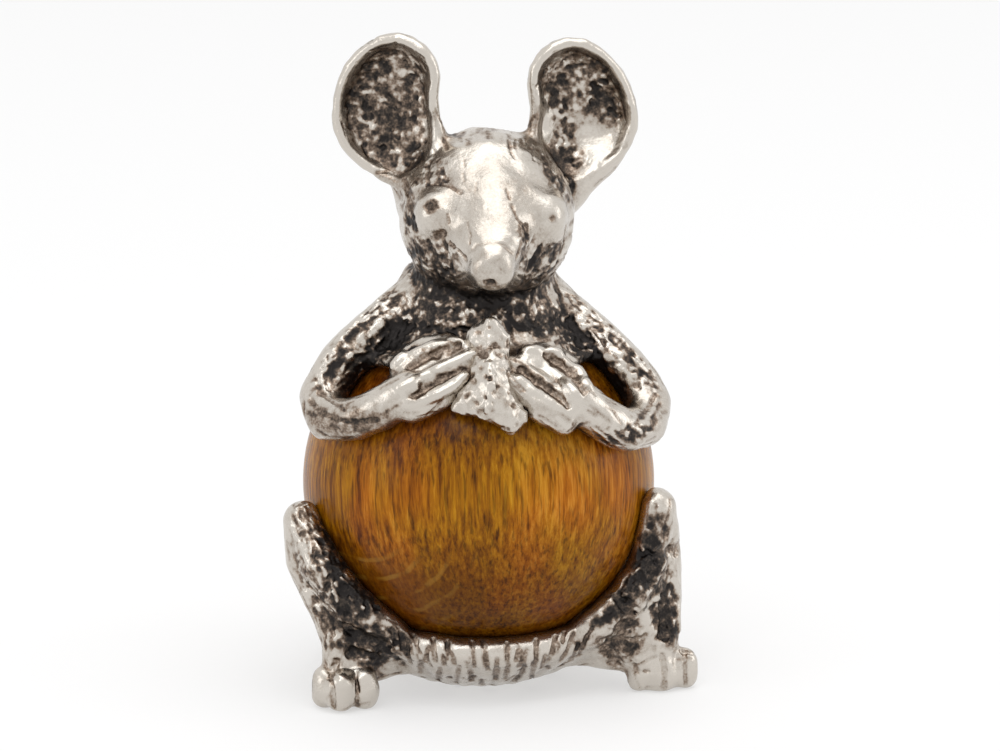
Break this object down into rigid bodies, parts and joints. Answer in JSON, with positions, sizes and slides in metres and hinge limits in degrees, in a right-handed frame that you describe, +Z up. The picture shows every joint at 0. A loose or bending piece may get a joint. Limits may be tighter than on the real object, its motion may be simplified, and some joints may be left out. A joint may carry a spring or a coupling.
{
  "type": "mouse figurine",
  "caption": "Seated cast-metal mouse figurine with cupped ears that clasps a turned, stained wooden ball as its belly and nibbles a morsel; stands on a flat-bottomed seat bowl.",
  "frame": {"origin": "centre of the seat's flat underside, on the ground under the ball's axis", "axes": "+Z up along the ball's bore, the mouse faces -Y, +X to the mouse's own left"},
  "size_m": [0.0349, 0.0323, 0.0561],
  "materials": {
    "casting": "antiqued silver-coloured casting: polished high spots, black-brown oxide in the recesses",
    "eye_metal": "polished silver-coloured bead",
    "post_steel": "plain drawn rod",
    "ball_wood": "amber-brown stain under satin lacquer, upright grain with ray flecks"
  },
  "bodies": {
    "root": {"seat": "casting", "belly_ball": "ball_wood", "centre_post": "post_steel", "chest": "casting", "head": "casting", "left_ear": "casting", "right_ear": "casting", "left_eye": "eye_metal", "right_eye": "eye_metal", "left_arm": "casting", "right_arm": "casting", "morsel": "casting", "left_leg": "casting", "right_leg": "casting", "tail": "casting"}
  },
  "joints": []
}
